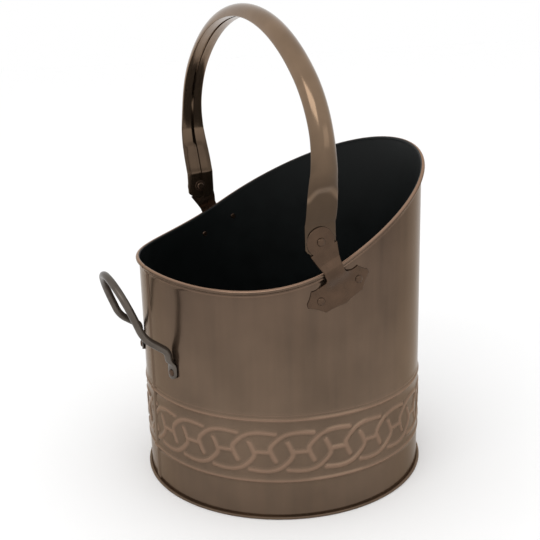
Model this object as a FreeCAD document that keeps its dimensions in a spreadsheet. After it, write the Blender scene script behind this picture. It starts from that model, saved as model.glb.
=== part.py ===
import FreeCAD, Part
import math
import os

import Sketcher
from FreeCAD import Placement, Rotation, Vector

# Log carrier: a round sheet-steel bucket with a mouth that sweeps up to a pouring lip,
# a swinging hoop handle on two riveted lugs and a fixed tipping handle at the back.
# Millimetres. The origin is the middle of the base on the floor, +Z is up, the pouring lip
# is at +X, the seam and the tipping handle are at -X, the lugs are at -Y and +Y.

doc = FreeCAD.newDocument("log_carrier")
sheet = doc.addObject("Spreadsheet::Sheet", "sizes")

SIZES = {
    # the rolled wall and its two pressed beads
    "wall_radius": 150.0,
    "sheet_gauge": 0.8,
    "bead_height": 1.2,
    "bead_half": 2.5,
    "lower_bead_height": 41.6,
    "upper_bead_height": 107.0,
    # the mouth, measured at the middle of the rolled rim
    "lip_height": 342.7,
    "mouth_tilt": 27.5,
    "mouth_dip_radius": 230.0,
    "mouth_bend_place": -3.0,
    # the bead rolled outwards along the mouth
    "roll_radius": 2.0,
    "roll_clearance": 0.1,
    "edge_rise": 1.0,
    # the locked seam at the back
    "seam_width": 8.0,
    "seam_height": 1.2,
    # the base and the fold that holds the wall's flange
    "flange_reach": 2.4,
    "fold_reach": 0.6,
    "fold_clearance": 0.05,
    # the lugs: the rivet line's drop under the rim, reach up to the pivot, and the plate's outline
    "lug_place": -9.1,
    "lug_drop": 22.13,
    "lug_tilt": 23.2,
    "lug_reach": 54.7,
    "lug_gauge": 1.5,
    "lug_rivet_half": 21.1,
    "lug_tip_half": 34.0,
    "lug_tip_rise": 2.8,
    "lug_shoulder_half": 25.5,
    "lug_shoulder_rise": 12.5,
    "lug_neck_foot_half": 14.0,
    "lug_neck_foot_rise": 14.5,
    "lug_waist_half": 10.3,
    "lug_waist_under_rim": 1.6,
    "lug_waist_over_rim": 4.9,
    "lug_ear_foot_half": 15.1,
    "lug_ear_foot_drop": 8.1,
    "lug_ear_radius": 14.3,
    "lug_point_half": 21.4,
    "lug_point_drop": 12.5,
    "lug_dip_half": 12.4,
    "lug_dip_drop": 11.7,
    "lug_middle_drop": 14.3,
    # the lug's bends: out over the rim, then back in to the ear
    "lug_bend_low": 9.0,
    "neck_under_rim": 3.6,
    "neck_over_rim": 3.4,
    "neck_return": 8.5,
    "lug_patch_top": 15.0,
    "rim_clearance": 0.5,
    "ear_offset": 2.0,
    # the rivets
    "rivet_head_radius": 3.9,
    "rivet_head_height": 1.9,
    "rivet_shank_radius": 2.0,
    "rivet_hole_radius": 2.15,
    "rivet_tail_radius": 3.0,
    "rivet_tail_height": 0.9,
    "rivet_seat": 0.05,
    "hole_reach": 10.0,
    "pivot_shank_radius": 2.5,
    "pivot_fit": 0.05,
    "pivot_head_radius": 4.2,
    "pivot_head_height": 2.0,
    "pivot_tail_radius": 4.0,
    "washer_radius": 6.3,
    "washer_gauge": 0.8,
    "pivot_play": 0.2,
    # the hoop handle
    "hoop_overhang": 19.5,
    "hoop_crown_excess": 21.0,
    "hoop_shoulder_radius": 122.0,
    "hoop_shoulder_height": 58.0,
    "hoop_half_round": 11.2,
    "hoop_side": 0.6,
    "hoop_gauge": 1.2,
    "hoop_slit": 3.0,
    "tab_gauge": 3.0,
    "tab_half_width": 16.2,
    "tab_drop": 14.0,
    "tab_corner_drop": 8.0,
    "tab_foot_half": 8.0,
    "tab_bend_height": 16.0,
    "tab_top_height": 42.0,
    "tab_top_offset": 6.5,
    # the tipping handle
    "grip_rod_radius": 4.5,
    "grip_half_width": 48.0,
    "grip_stand_off": 5.0,
    "foot_rivet_height": 141.0,
    "foot_flat_rise": 7.0,
    "foot_half_width": 7.0,
    "foot_gauge": 3.0,
    "grip_foot_rise": 14.0,
    "grip_knee_rise": 6.0,
    "grip_knee_radius": 10.0,
    "grip_leg_tilt": 51.0,
    "grip_leg_length": 31.0,
    "grip_elbow_radius": 40.0,
    "grip_loop_tilt": 23.4,
    "grip_loop_length": 69.2,
}
kept = []


def keep(alias, value):
    """Keeps one named size in the next row of the sheet."""
    kept.append(alias)
    row = len(kept)
    sheet.set("A%d" % row, alias.replace("_", " "))
    sheet.set("B%d" % row, str(value))
    sheet.setAlias("B%d" % row, alias)


for alias, value in SIZES.items():
    keep(alias, value)
doc.recompute()


def size(alias):
    """The number in a named cell."""
    return float(sheet.get(alias))


def total(terms):
    """Value and expression of a sum of named cells; a leading minus takes the cell away."""
    value, expression = 0.0, "0 mm"
    for term in terms:
        alias = term.lstrip("-")
        sign = -1 if term.startswith("-") else 1
        value += sign * size(alias)
        expression += (" - " if sign < 0 else " + ") + "sizes." + alias + " * 1 mm"
    return value, expression


def new_body(label):
    """An empty body for one sub-part."""
    return doc.addObject("PartDesign::Body", label)


def new_sketch(body, plane, name, offset=Placement()):
    """A sketch of a body on one of its own origin planes."""
    sketch = body.newObject("Sketcher::SketchObject", name)
    support = [f for f in body.Origin.OriginFeatures if f.Role == plane][0]
    sketch.AttachmentSupport = (support, "")
    sketch.MapMode = "FlatFace"
    sketch.AttachmentOffset = offset
    return sketch


def hold(sketch, edge, end, across, up):
    """Holds one end of an edge at named distances from the sketch's origin."""
    for kind, terms in (("DistanceX", across), ("DistanceY", up)):
        value, expression = total(terms)
        number = sketch.addConstraint(Sketcher.Constraint(kind, -1, 1, edge, end, value))
        sketch.setExpression("Constraints[%d]" % number, expression)


def bulge(start, end, radius, side):
    """The middle of an arc from start to end; side 1 bows to the left of the way, -1 to the right."""
    chord = end - start
    half = chord.Length / 2
    rise = radius - math.sqrt(radius * radius - half * half)
    left = Vector(-chord.y, chord.x, 0).normalize()
    return (start + end) / 2 + left * (side * rise)


def outline(sketch, corners):
    """A closed chain of edges; a corner is (across, up), with (radius, side) added for an arc to the next."""
    places = [Vector(total(c[0])[0], total(c[1])[0], 0) for c in corners]
    count = len(corners)
    first = sketch.GeometryCount
    ends = []
    for i in range(count):
        start, end = places[i], places[(i + 1) % count]
        if len(corners[i]) == 2:
            sketch.addGeometry(Part.LineSegment(start, end))
            ends.append((1, 2))
            continue
        radius, side = total(corners[i][2])[0], corners[i][3]
        middle = bulge(start, end, radius, side)
        if side > 0:
            sketch.addGeometry(Part.Arc(end, middle, start))
        else:
            sketch.addGeometry(Part.Arc(start, middle, end))
        ends.append((2, 1) if side > 0 else (1, 2))
    for i in range(count):
        follows = (i + 1) % count
        joint = (first + i, ends[i][1], first + follows, ends[follows][0])
        sketch.addConstraint(Sketcher.Constraint("Coincident", *joint))
    for i in range(count):
        hold(sketch, first + i, ends[i][0], corners[i][0], corners[i][1])
        if len(corners[i]) > 2:
            value, expression = total(corners[i][2])
            number = sketch.addConstraint(Sketcher.Constraint("Radius", first + i, value))
            sketch.setExpression("Constraints[%d]" % number, expression)


def revolve(body, sketch, name):
    """Turns a profile once round the sketch's upright axis."""
    turned = body.newObject("PartDesign::Revolution", name)
    turned.Profile = sketch
    turned.ReferenceAxis = (sketch, ["V_Axis"])
    turned.Angle = 360
    return turned


def pocket_through(body, sketch, name):
    """Cuts a profile through everything on both sides of its plane."""
    before = body.Shape.Volume
    cut = body.newObject("PartDesign::Pocket", name)
    cut.Profile = sketch
    cut.SideType = "Symmetric"
    cut.Type = "ThroughAll"
    doc.recompute()
    if body.Shape.Volume >= before:
        raise RuntimeError(name + " cuts nothing")
    return cut


def cylinder(name, radius, length, place):
    """A plain round bar or hole, its radius bound to a cell."""
    bar = doc.addObject("Part::Cylinder", name)
    bar.setExpression("Radius", radius)
    bar.Height = length
    bar.Placement = place
    return bar


def prism(name, radius, length, place):
    """A small rivet's part or its hole, drawn with RIVET_SIDES flats, its radius bound to a cell."""
    bar = doc.addObject("Part::Prism", name)
    bar.Polygon = RIVET_SIDES
    bar.setExpression("Circumradius", radius)
    bar.Height = length
    bar.Placement = place
    return bar


def radial(angle, distance, height):
    """A place on the wall, its own Z pointing straight out of the wall."""
    out = Vector(math.cos(angle), math.sin(angle), 0)
    turn = Rotation(Vector(0, 0, 1), out)
    return Placement(Vector(out.x * distance, out.y * distance, height), turn)


def chain(sketch, corners):
    """A closed chain of straight edges through worked-out corners."""
    for start, end in zip(corners, corners[1:] + corners[:1]):
        sketch.addGeometry(Part.LineSegment(start, end))


def many_sided(sides, radius):
    """Corners of a round bar's or tube's section, with a flat side facing -Y."""
    step = 2 * math.pi / sides
    turns = [step * (i + 0.5) - math.pi / 2 for i in range(sides)]
    return [Vector(radius * math.cos(t), radius * math.sin(t)) for t in turns]


def half_round(sides, radius, foot):
    """Corners of a half round from its right foot over the top, at +Y, to its left foot."""
    turns = [math.pi * i / sides for i in range(sides + 1)]
    dome = [Vector(radius * math.cos(t), radius * math.sin(t)) for t in turns if radius * math.sin(t) > foot]
    return [Vector(radius, foot)] + dome + [Vector(-radius, foot)]


def pressed_flat(corners, half_width, half_gauge):
    """The same corners once the section has been pressed to a flat strip."""
    widest = max(c.x for c in corners)
    return [Vector(c.x * half_width / widest, math.copysign(half_gauge, c.y)) for c in corners]


RIVET_SIDES = 12

# The places that several pieces share.
wall_radius = size("wall_radius")
gauge = size("sheet_gauge")
beyond_wall = 2 * wall_radius
fold_under = ("sheet_gauge", "sheet_gauge", "fold_clearance")
fold_top = fold_under + ("sheet_gauge",)
ROLL_SIDES = 6
roll_flat = size("roll_radius") * math.cos(math.pi / ROLL_SIDES)
roll_ring = wall_radius + size("roll_clearance") + roll_flat
slope = math.radians(size("mouth_tilt"))
bend_x = size("mouth_bend_place")
bend_z = size("lip_height") - (roll_ring - bend_x) * math.tan(slope)
dip_radius = size("mouth_dip_radius")
dip_x = bend_x - dip_radius * math.sin(slope)
dip_z = bend_z + dip_radius * math.cos(slope)


def mouth_height(x):
    """Height of the rolled rim's middle: a straight rise to the lip, a hollow curve behind it."""
    if x >= bend_x:
        return bend_z + (x - bend_x) * math.tan(slope)
    return dip_z - math.sqrt(dip_radius ** 2 - (x - dip_x) ** 2)


# A lug's middle line crosses the rim one lug_drop above its rivet line, and ends at the pivot.
tilt = math.radians(size("lug_tilt"))
crossing_x = size("lug_place") - size("lug_drop") * math.sin(tilt)
keep("lug_height", round(mouth_height(crossing_x) - size("lug_drop") * math.cos(tilt), 3))
doc.recompute()
pivot_x = size("lug_place") - size("lug_reach") * math.sin(tilt)
pivot_z = size("lug_height") + size("lug_reach") * math.cos(tilt)


def lug_point(along, up):
    """X and Z of a point given along a lug's rivet line and up its axis."""
    x = size("lug_place") + along * math.cos(tilt) - up * math.sin(tilt)
    z = size("lug_height") + along * math.sin(tilt) + up * math.cos(tilt)
    return x, z


# The rim's route: once round the wall at the height of the mouth.
RIM_POINTS = 24
route = []
for i in range(RIM_POINTS):
    angle = 2 * math.pi * i / RIM_POINTS
    x = roll_ring * math.cos(angle)
    route.append(Vector(x, roll_ring * math.sin(angle), mouth_height(x)))
rim_curve = Part.BSplineCurve()
rim_curve.interpolate(Points=route, PeriodicFlag=True)
rim_route = Part.Wire([rim_curve.toShape()])


# Wall: one rolled sheet with a flange at the foot, two pressed beads and a locked seam.
body = new_body("wall_sheet")
profile = new_sketch(body, "XZ_Plane", "wall_section")
inside = ("wall_radius", "-sheet_gauge")
outside = ("wall_radius",)
flange_low = ("sheet_gauge",)
flange_high = ("sheet_gauge", "sheet_gauge")
rim_top = ("lip_height", "wall_radius")
wall_corners = [
    (inside, flange_low),
    (("wall_radius", "flange_reach"), flange_low),
    (("wall_radius", "flange_reach"), flange_high),
    (outside, flange_high),
]
for bead in ("lower_bead_height", "upper_bead_height"):
    wall_corners.append((outside, (bead, "-bead_half")))
    wall_corners.append((outside + ("bead_height",), (bead,)))
    wall_corners.append((outside, (bead, "bead_half")))
wall_corners.append((outside, rim_top))
wall_corners.append((inside, rim_top))
for bead in ("upper_bead_height", "lower_bead_height"):
    wall_corners.append((inside, (bead, "bead_half")))
    wall_corners.append((inside + ("bead_height",), (bead,)))
    wall_corners.append((inside, (bead, "-bead_half")))
outline(profile, wall_corners)
revolve(body, profile, "wall_turn")
doc.recompute()

seam_foot = total(fold_top + ("fold_clearance",))[0]
seam_top = mouth_height(-wall_radius) - size("roll_radius") - size("roll_clearance")
seam = new_sketch(body, "XY_Plane", "seam_section", Placement(Vector(0, 0, seam_foot), Rotation()))
seam_out = -wall_radius - size("seam_height")
seam_in = gauge - wall_radius
seam_half = size("seam_width") / 2
chain(seam, [
    Vector(seam_out, -seam_half),
    Vector(seam_in, -seam_half),
    Vector(seam_in, seam_half),
    Vector(seam_out, seam_half),
])
strip = body.newObject("PartDesign::Pad", "seam_strip")
strip.Profile = seam
strip.Length = seam_top - seam_foot
doc.recompute()

mouth = new_sketch(body, "XZ_Plane", "mouth_cut")
far = roll_ring + 2 * size("roll_radius")
edge_rise = size("edge_rise")
far_low = mouth_height(-far) + edge_rise
far_high = mouth_height(far) + edge_rise
top = far_high + wall_radius
low_point = Vector(dip_x, dip_z - dip_radius + edge_rise)
bend_point = Vector(bend_x, bend_z + edge_rise)
mouth.addGeometry(Part.Arc(Vector(-far, far_low), low_point, bend_point))
mouth.addGeometry(Part.LineSegment(bend_point, Vector(far, far_high)))
mouth.addGeometry(Part.LineSegment(Vector(far, far_high), Vector(far, top)))
mouth.addGeometry(Part.LineSegment(Vector(far, top), Vector(-far, top)))
mouth.addGeometry(Part.LineSegment(Vector(-far, top), Vector(-far, far_low)))
pocket_through(body, mouth, "mouth")

# Rim bead: the edge rolled outwards to a bead all round the mouth, lying against the wall.
# Its section is drawn at the lip with a flat side to the wall, and stays upright all the way round.
roll_corners = []
for i in range(ROLL_SIDES):
    turn = 2 * math.pi * (i + 0.5) / ROLL_SIDES
    out = roll_ring + size("roll_radius") * math.cos(turn)
    roll_corners.append(Vector(out, 0, size("lip_height") + size("roll_radius") * math.sin(turn)))
roller = Part.BRepOffsetAPI.MakePipeShell(rim_route)
roller.setBiNormalMode(Vector(0, 0, 1))
roller.add(Part.makePolygon(roll_corners + roll_corners[:1]), False, False)
roller.build()
roller.makeSolid()
rim_bead = doc.addObject("Part::Feature", "rim_bead")
rim_bead.Shape = roller.shape()

# Rivet places: two under each lug and one in each foot of the tipping handle.
lug_rivets = {}
for name, along in (("rear", -1), ("front", 1)):
    x, z = lug_point(along * size("lug_rivet_half"), 0)
    angle = -math.pi / 2 + math.asin(x / wall_radius)
    lug_rivets["lug_rivet_right_" + name] = (angle, z)
    lug_rivets["lug_rivet_left_" + name] = (-angle, z)
foot_turn = math.asin(size("grip_half_width") / (wall_radius + size("grip_stand_off")))
grip_rivets = {
    "grip_rivet_right": (math.pi + foot_turn, size("foot_rivet_height")),
    "grip_rivet_left": (math.pi - foot_turn, size("foot_rivet_height")),
}
holes = []
for name, (angle, z) in list(lug_rivets.items()) + list(grip_rivets.items()):
    place = radial(angle, wall_radius - size("hole_reach"), z)
    holes.append(prism(name + "_hole", "sizes.rivet_hole_radius * 1 mm", 2 * size("hole_reach"), place))

# Base: a flat disc; its edge is folded up and over the wall's flange.
base_pan = new_body("base_pan")
profile = new_sketch(base_pan, "XZ_Plane", "base_section")
fold_turn = ("wall_radius", "flange_reach", "fold_clearance")
fold_out = fold_turn + ("sheet_gauge",)
fold_tip = ("wall_radius", "fold_reach")
outline(profile, [
    ((), ()),
    (fold_out, ()),
    (fold_out, fold_top),
    (fold_tip, fold_top),
    (fold_tip, fold_under),
    (fold_turn, fold_under),
    (fold_turn, ("sheet_gauge",)),
    ((), ("sheet_gauge",)),
])
revolve(base_pan, profile, "base_turn")
doc.recompute()

# Lug: a stamped plate, its lower half rolled to the wall, its neck bent out over the rim
# and back in to a flat ear that carries the hoop's pivot.
lug = new_body("lug_plate")
patch = new_sketch(lug, "XZ_Plane", "lug_patch")
outline(patch, [
    (("wall_radius",), ("lug_height", "-lug_tip_half")),
    (("wall_radius", "lug_gauge"), ("lug_height", "-lug_tip_half")),
    (("wall_radius", "lug_gauge"), ("lug_height", "lug_tip_half")),
    (("wall_radius",), ("lug_height", "lug_tip_half")),
])
revolve(lug, patch, "lug_patch_turn")
doc.recompute()

lug_frame = Placement(
    Vector(size("lug_place"), size("lug_height"), 0), Rotation(Vector(0, 0, 1), size("lug_tilt")))
above = new_sketch(lug, "XZ_Plane", "lug_patch_end", lug_frame)
wide = ("wall_radius", "wall_radius")
outline(above, [
    (("-wall_radius", "-wall_radius"), ("lug_patch_top",)),
    (wide, ("lug_patch_top",)),
    (wide, wide),
    (("-wall_radius", "-wall_radius"), wide),
])
pocket_through(lug, above, "lug_patch_top_edge")

neck_frame = Placement(
    Vector(0, size("lug_height"), size("lug_place")), Rotation(Vector(1, 0, 0), -size("lug_tilt")))
neck = new_sketch(lug, "YZ_Plane", "lug_neck_section", neck_frame)
rim_face = ("-wall_radius", "-roll_clearance", "-roll_radius", "-roll_radius", "-rim_clearance")
ear_face = ("-wall_radius", "-ear_offset")
start_face = ("-wall_radius", "lug_gauge", "lug_gauge", "lug_gauge")
bend_out = ("lug_drop", "-neck_under_rim")
bend_back = ("lug_drop", "neck_over_rim")
bend_ear = bend_back + ("neck_return",)
ear_top = ("lug_reach", "lug_ear_radius", "lug_ear_radius")
outline(neck, [
    (start_face, ("lug_bend_low",)),
    (rim_face, bend_out),
    (rim_face, bend_back),
    (ear_face, bend_ear),
    (ear_face, ear_top),
    (ear_face + ("-lug_gauge",), ear_top),
    (ear_face + ("-lug_gauge",), bend_ear),
    (rim_face + ("-lug_gauge",), bend_back),
    (rim_face + ("-lug_gauge",), bend_out),
    (start_face + ("-lug_gauge",), ("lug_bend_low",)),
])
neck_pad = lug.newObject("PartDesign::Pad", "lug_neck")
neck_pad.Profile = neck
neck_pad.SideType = "Symmetric"
neck_pad.setExpression("Length", "2 * sizes.lug_ear_foot_half * 1 mm")
doc.recompute()

core = new_sketch(lug, "XZ_Plane", "lug_wall_side")
waist_low = ("lug_drop", "-lug_waist_under_rim")
waist_high = ("lug_drop", "lug_waist_over_rim")
core_low = ("lug_height", "-lug_tip_half", "-lug_tip_half")
core_high = ("lug_height",) + waist_low
outline(core, [
    ((), core_low),
    (("wall_radius",), core_low),
    (("wall_radius",), core_high),
    ((), core_high),
])
hollow = lug.newObject("PartDesign::Groove", "lug_back")
hollow.Profile = core
hollow.ReferenceAxis = (core, ["V_Axis"])
hollow.Angle = 360
doc.recompute()

edge = new_sketch(lug, "XZ_Plane", "lug_outline", lug_frame)
half_outline = [
    (("lug_dip_half",), ("-lug_dip_drop",)),
    (("lug_point_half",), ("-lug_point_drop",)),
    (("lug_tip_half",), ("lug_tip_rise",)),
    (("lug_shoulder_half",), ("lug_shoulder_rise",)),
    (("lug_neck_foot_half",), ("lug_neck_foot_rise",)),
    (("lug_waist_half",), waist_low),
    (("lug_waist_half",), waist_high),
    (("lug_ear_foot_half",), ("lug_reach", "-lug_ear_foot_drop")),
]
# the outline runs up the left flank, over the ear and down the right flank
left_flank = [(("-" + across[0],), up) for across, up in half_outline]
right_flank = half_outline[::-1]
ear = [
    (("-lug_ear_radius",), ("lug_reach",), ("lug_ear_radius",), 1),
    ((), ("lug_reach", "lug_ear_radius"), ("lug_ear_radius",), 1),
    (("lug_ear_radius",), ("lug_reach",)),
]
outline(edge, [((), ("-lug_middle_drop",))] + left_flank + ear + right_flank)
outline(edge, [
    (("-wall_radius", "-wall_radius"), ("-wall_radius", "-wall_radius")),
    (wide, ("-wall_radius", "-wall_radius")),
    (wide, wide),
    (("-wall_radius", "-wall_radius"), wide),
])
pocket_through(lug, edge, "lug_blank")

# the half of the ring on the far side goes, and the ear is bored for the pivot
side = doc.addObject("Part::Box", "right_side")
side.Length = 2 * beyond_wall
side.Width = beyond_wall
side.Height = 2 * beyond_wall
side.Placement = Placement(Vector(-beyond_wall, -beyond_wall, 0), Rotation())
right_plate = doc.addObject("Part::Common", "lug_right_plate")
right_plate.Base = lug
right_plate.Tool = side
along_y = Rotation(Vector(0, 0, 1), Vector(0, 1, 0))
bore_start = Placement(Vector(pivot_x, -beyond_wall, pivot_z), along_y)
bore_radius = "(sizes.pivot_shank_radius + sizes.pivot_fit) * 1 mm"
pivot_bore = cylinder("pivot_bore", bore_radius, 2 * beyond_wall, bore_start)
lug_holes = doc.addObject("Part::MultiFuse", "lug_holes")
lug_holes.Shapes = [pivot_bore] + [h for h in holes if h.Name.startswith("lug_rivet_right")]
lug_right = doc.addObject("Part::Cut", "bail_lug_right")
lug_right.Base = right_plate
lug_right.Tool = lug_holes
lug_left = doc.addObject("Part::Mirroring", "bail_lug_left")
lug_left.Source = lug_right
lug_left.Base = Vector(0, 0, 0)
lug_left.Normal = Vector(0, 1, 0)


def rivet(label, kind, shank_bar, grip, place):
    """A rivet of a named kind; its head sits on Z = 0 and its clenched end lies a grip below."""
    head_height = size(kind + "_head_height")
    tail_height = size("rivet_tail_height")
    shank_low = -grip - tail_height / 2
    stack = [
        (prism, "_head", "_head_radius", 0, head_height),
        (shank_bar, "_shank", "_shank_radius", shank_low, head_height / 2 - shank_low),
        (prism, "_tail", "_tail_radius", -grip - tail_height, tail_height),
    ]
    lengths = []
    for make, name, radius, start, length in stack:
        seat = place.multiply(Placement(Vector(0, 0, start), Rotation()))
        lengths.append(make(label + name, "sizes.%s * 1 mm" % (kind + radius), length, seat))
    whole = doc.addObject("Part::MultiFuse", label)
    whole.Shapes = lengths
    return whole


# Lug and tipping handle rivets: heads outside, clenched ends inside the bucket.
pieces = [rim_bead, base_pan, lug_right, lug_left]
for name, (angle, z) in lug_rivets.items():
    grip = gauge + size("lug_gauge") + size("rivet_seat")
    place = radial(angle, wall_radius + size("lug_gauge"), z)
    pieces.append(rivet(name, "rivet", prism, grip, place))
for name, (angle, z) in grip_rivets.items():
    grip = gauge + size("foot_gauge") + 2 * size("rivet_seat")
    place = radial(angle, wall_radius + size("foot_gauge") + size("rivet_seat"), z)
    pieces.append(rivet(name, "rivet", prism, grip, place))

# Pivots: a rivet through each ear and tab, with a washer under its inner end.
ear_outside = wall_radius + size("ear_offset") + size("lug_gauge")
tab_outside = wall_radius + size("ear_offset") - size("pivot_play")
tab_inside = tab_outside - size("tab_gauge")
washer_outside = tab_inside - size("pivot_play")
washer_inside = washer_outside - size("washer_gauge")
for name, hand in (("right", -1), ("left", 1)):
    out = Rotation(Vector(0, 0, 1), Vector(0, hand, 0))
    place = Placement(Vector(pivot_x, hand * ear_outside, pivot_z), out)
    pieces.append(rivet("pivot_rivet_" + name, "pivot", cylinder, ear_outside - washer_inside, place))
    inner_place = Placement(Vector(pivot_x, hand * washer_inside, pivot_z), out)
    washer = doc.addObject("Part::Cut", "pivot_washer_" + name)
    disc_radius = "sizes.washer_radius * 1 mm"
    washer.Base = prism("washer_disc_" + name, disc_radius, size("washer_gauge"), inner_place)
    washer.Tool = pivot_bore
    pieces.append(washer)

# Hoop handle: sheet bent to a hollow half round with its slit on the inside, an arch of three arcs,
# pressed flat at both ends into tabs that hang inside the ears.
bail = new_body("bail_hoop")
arch = new_sketch(bail, "YZ_Plane", "hoop_arch", Placement(Vector(0, pivot_z, pivot_x), Rotation()))
half = wall_radius + size("hoop_overhang")
shoulder = size("hoop_shoulder_radius")
spring = size("hoop_shoulder_height")
crown_radius = half + size("hoop_crown_excess")
lean = math.asin((half - shoulder) / (crown_radius - shoulder))
crown_middle = spring - (crown_radius - shoulder) * math.cos(lean)
crown_top = Vector(0, crown_middle + crown_radius)
meet_y = crown_radius * math.sin(lean)
meet_z = crown_middle + crown_radius * math.cos(lean)


def shoulder_spot(degrees):
    """A point of the right-hand shoulder arc, turned up from level."""
    turn = math.radians(degrees)
    return Vector(half - shoulder + shoulder * math.cos(turn), spring + shoulder * math.sin(turn))


part_turn = math.degrees(math.pi / 2 - lean) / 2
knee = shoulder_spot(part_turn)
arch.addGeometry(Part.Arc(Vector(half, spring), knee, Vector(meet_y, meet_z)))
arch.addGeometry(Part.Arc(Vector(meet_y, meet_z), crown_top, Vector(-meet_y, meet_z)))
arch.addGeometry(Part.Arc(Vector(-meet_y, meet_z), Vector(-knee.x, knee.y), Vector(-half, spring)))
for first in (0, 1):
    arch.addConstraint(Sketcher.Constraint("Tangent", first, 2, first + 1, 1))

# the section: a half round bent in short flats, its flat side open in a slit towards the hoop's middle
SKIN_SIDES = 6
LINING_SIDES = 4
tube_end = Placement(Vector(pivot_x, half, pivot_z + spring), Rotation())
tube = new_sketch(bail, "XY_Plane", "hoop_section", tube_end)
slit_half = size("hoop_slit") / 2
skin_foot = -size("hoop_side")
lining_foot = skin_foot + size("hoop_gauge")
tube_skin = half_round(SKIN_SIDES, size("hoop_half_round"), skin_foot)
tube_lining = half_round(LINING_SIDES, size("hoop_half_round") - size("hoop_gauge"), lining_foot)
chain(
    tube,
    [Vector(slit_half, skin_foot)] + tube_skin + [Vector(-slit_half, skin_foot)]
    + [Vector(-slit_half, lining_foot)] + tube_lining[::-1] + [Vector(slit_half, lining_foot)])
doc.recompute()
hoop = bail.newObject("PartDesign::AdditivePipe", "hoop_tube")
hoop.Profile = tube
hoop.Spine = (arch, ["Edge1", "Edge2", "Edge3"])
doc.recompute()

# the tube's end is pressed flat and runs out in the tab
tab_half = size("tab_half_width")
tab_gauge = size("tab_gauge")
tab_mid = (tab_outside + tab_inside) / 2
tab_top_y = tab_mid + size("tab_top_offset")
tab_top = size("tab_top_height")
press_high = new_sketch(bail, "XY_Plane", "press_top", tube_end)
chain(press_high, tube_skin)
press_low = new_sketch(
    bail, "XY_Plane", "press_bottom", Placement(Vector(pivot_x, tab_top_y, pivot_z + tab_top), Rotation()))
chain(press_low, pressed_flat(tube_skin, tab_half, tab_gauge / 2))
press = bail.newObject("PartDesign::AdditiveLoft", "hoop_press")
press.Profile = press_high
press.Sections = [press_low]
press.Ruled = True
doc.recompute()

tab_side = new_sketch(bail, "YZ_Plane", "tab_side", Placement(Vector(0, pivot_z, pivot_x), Rotation()))
bend = size("tab_bend_height")
side_corners = [
    Vector(tab_inside, -size("tab_drop")),
    Vector(tab_outside, -size("tab_drop")),
    Vector(tab_outside, bend),
    Vector(tab_outside + size("tab_top_offset"), tab_top),
    Vector(tab_inside + size("tab_top_offset"), tab_top),
    Vector(tab_inside, bend),
]
chain(tab_side, side_corners)
tab_pad = bail.newObject("PartDesign::Pad", "hoop_tab")
tab_pad.Profile = tab_side
tab_pad.SideType = "Symmetric"
tab_pad.setExpression("Length", "2 * sizes.tab_half_width * 1 mm")
doc.recompute()

other = bail.newObject("PartDesign::Mirrored", "hoop_other_side")
other.Originals = [press, tab_pad]
other.MirrorPlane = ([f for f in bail.Origin.OriginFeatures if f.Role == "XZ_Plane"][0], [""])
bail.Tip = other
doc.recompute()

corner = new_sketch(bail, "XZ_Plane", "tab_corners", Placement(Vector(pivot_x, pivot_z, 0), Rotation()))
beyond_side = tab_half + tab_gauge
beyond_foot = size("tab_drop") + tab_gauge
for hand in (-1, 1):
    chain(corner, [
        Vector(hand * beyond_side, -size("tab_corner_drop")),
        Vector(hand * tab_half, -size("tab_corner_drop")),
        Vector(hand * size("tab_foot_half"), -size("tab_drop")),
        Vector(hand * size("tab_foot_half"), -beyond_foot),
        Vector(hand * beyond_side, -beyond_foot),
    ])
pocket_through(bail, corner, "tab_ends")
hoop_bored = doc.addObject("Part::Cut", "bail")
hoop_bored.Base = bail
hoop_bored.Tool = pivot_bore
pieces.append(hoop_bored)

# Tipping handle: a round bar bent to a loop that stands up and out from two flattened feet.
stand = wall_radius + size("grip_stand_off")
grip_half = size("grip_half_width")
foot_x = -stand * math.cos(foot_turn)
foot_end = Vector(foot_x, 0, size("foot_rivet_height") + size("grip_foot_rise"))


def tilted(alias):
    """The way up and out from the wall at a named tilt from upright."""
    angle = math.radians(size(alias))
    return Vector(-math.sin(angle), 0, math.cos(angle))


knee = foot_end + Vector(0, 0, size("grip_knee_rise"))
elbow = knee + tilted("grip_leg_tilt") * size("grip_leg_length")
loop_up = tilted("grip_loop_tilt")


def rounded(before, corner, after, radius):
    """Start, middle and end of the arc that rounds a corner of the bar."""
    back = (before - corner).normalize()
    on = (after - corner).normalize()
    half_angle = back.getAngle(on) / 2
    reach = radius / math.tan(half_angle)
    middle_way = (back + on).normalize()
    centre = corner + middle_way * (radius / math.sin(half_angle))
    return corner + back * reach, centre - middle_way * radius, corner + on * reach


loop_start = elbow + loop_up * (size("grip_loop_length") - grip_half)
loop_top = elbow + loop_up * size("grip_loop_length")
knee_arc = rounded(foot_end, knee, elbow, size("grip_knee_radius"))
elbow_arc = rounded(knee, elbow, loop_start, size("grip_elbow_radius"))


def leg(hand):
    """The edges of one leg from its foot to the loop."""
    shift = Vector(0, hand * grip_half, 0)
    return [
        Part.makeLine(foot_end + shift, knee_arc[0] + shift),
        Part.Arc(*[p + shift for p in knee_arc]).toShape(),
        Part.makeLine(knee_arc[2] + shift, elbow_arc[0] + shift),
        Part.Arc(*[p + shift for p in elbow_arc]).toShape(),
        Part.makeLine(elbow_arc[2] + shift, loop_start + shift),
    ]


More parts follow.
